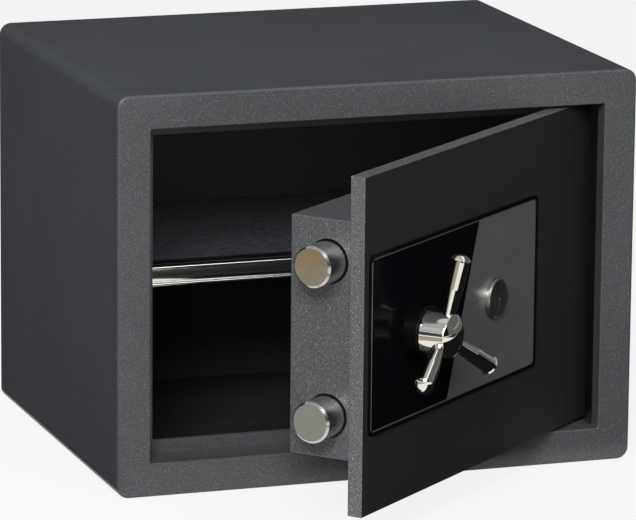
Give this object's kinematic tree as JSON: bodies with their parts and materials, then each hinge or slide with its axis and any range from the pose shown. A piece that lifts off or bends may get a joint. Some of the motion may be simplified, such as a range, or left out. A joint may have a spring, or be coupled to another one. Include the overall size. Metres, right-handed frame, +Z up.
{
  "type": "home safe",
  "caption": "Small steel home safe with a hinged plate door, spoked handle that draws round locking bolts, key lock and carpeted shelf",
  "frame": {"origin": "middle of the case's base, on the surface it stands on", "axes": "X right along the case's width, Y back along its depth (the door is at -Y), Z up"},
  "size_m": [0.35, 0.4579, 0.26],
  "materials": {
    "case_paint": "hammered dark grey powder coat",
    "door_paint": "matt near-black grey paint, smoother than the case",
    "inner_paint": "dark textured paint",
    "chrome": "polished chrome plate",
    "zinc_steel": "zinc-plated steel",
    "bright_steel": "bare turned or ground steel",
    "satin_steel": "satin nickel",
    "satin_silver": "satin grey-silver lacquer",
    "black_trim": "smooth black plastic",
    "gloss_black": "high-gloss black",
    "brass": "turned brass",
    "carpet": "dark grey-blue needle felt"
  },
  "bodies": {
    "case": {"body_wrap": "case_paint", "back_panel": "case_paint", "front_frame": "case_paint", "door_recess": "case_paint", "door_stop": "case_paint", "upper_hinge_bracket": "inner_paint", "lower_hinge_bracket": "inner_paint", "hinge_washer": "brass", "shelf": "inner_paint", "left_shelf_support": "inner_paint", "right_shelf_support": "inner_paint", "shelf_screws": "zinc_steel", "shelf_trim": "chrome", "shelf_carpet": "carpet", "floor_carpet": "carpet"},
    "door": {"door_plate": "door_paint", "upper_hinge_block": "case_paint", "lower_hinge_block": "case_paint", "upper_hinge_pin": "bright_steel", "lower_hinge_pin": "bright_steel", "fascia_surround": "black_trim", "fascia_plate": "satin_silver", "fascia_inlay": "gloss_black", "handle_collar": "black_trim", "spindle_bush": "brass", "key_escutcheon": "satin_steel", "bolt_box": "case_paint", "box_posts": "zinc_steel", "box_screws": "zinc_steel", "upper_bolt_guide": "zinc_steel", "lower_bolt_guide": "zinc_steel", "guide_studs": "zinc_steel", "stud_nuts": "zinc_steel", "lock_case": "zinc_steel", "lock_cover": "zinc_steel", "lock_screws": "zinc_steel"},
    "handle": {"handle_hub": "chrome", "handle_spoke_1": "chrome", "handle_spoke_2": "chrome", "handle_spoke_3": "chrome", "hub_set_screw": "bright_steel", "handle_spindle": "bright_steel", "cam_disc": "zinc_steel", "cam_pin": "bright_steel", "cam_screw": "zinc_steel"},
    "bolt_work": {"bolt_carriage": "zinc_steel", "carriage_screws": "zinc_steel", "upper_bolt": "chrome", "lower_bolt": "chrome"},
    "key_barrel": {"key_barrel": "brass"},
    "lock_bolt": {"lock_bolt": "bright_steel"}
  },
  "joints": [
    {"name": "door_swing", "type": "hinge", "parent": "case", "child": "door", "pos_m": [0.1336, -0.1069, 0.13], "axis": [0, 0, 1], "range_deg": [-40.8, 49.2]},
    {"name": "handle_turn", "type": "hinge", "parent": "door", "child": "handle", "pos_m": [-0.02218, -0.26435, 0.1288], "axis": [-0.6534, 0.757, 0], "range_deg": [0, 90]},
    {"name": "bolt_slide", "type": "slide", "parent": "door", "child": "bolt_work", "axis": [0.757, 0.6534, 0], "range_m": [0, 0.02]},
    {"name": "key_turn", "type": "hinge", "parent": "door", "child": "key_barrel", "pos_m": [0.05405, -0.19855, 0.13], "axis": [-0.6534, 0.757, 0], "range_deg": [0, 90]},
    {"name": "lock_bolt_rise", "type": "slide", "parent": "door", "child": "lock_bolt", "axis": [0, 0, 1], "range_m": [0, 0.0085]}
  ],
  "couplings": [
    {"joint": "handle_turn", "follows": "bolt_slide", "rad_per_m": 78.54},
    {"joint": "key_turn", "follows": "lock_bolt_rise", "rad_per_m": 184.8}
  ]
}
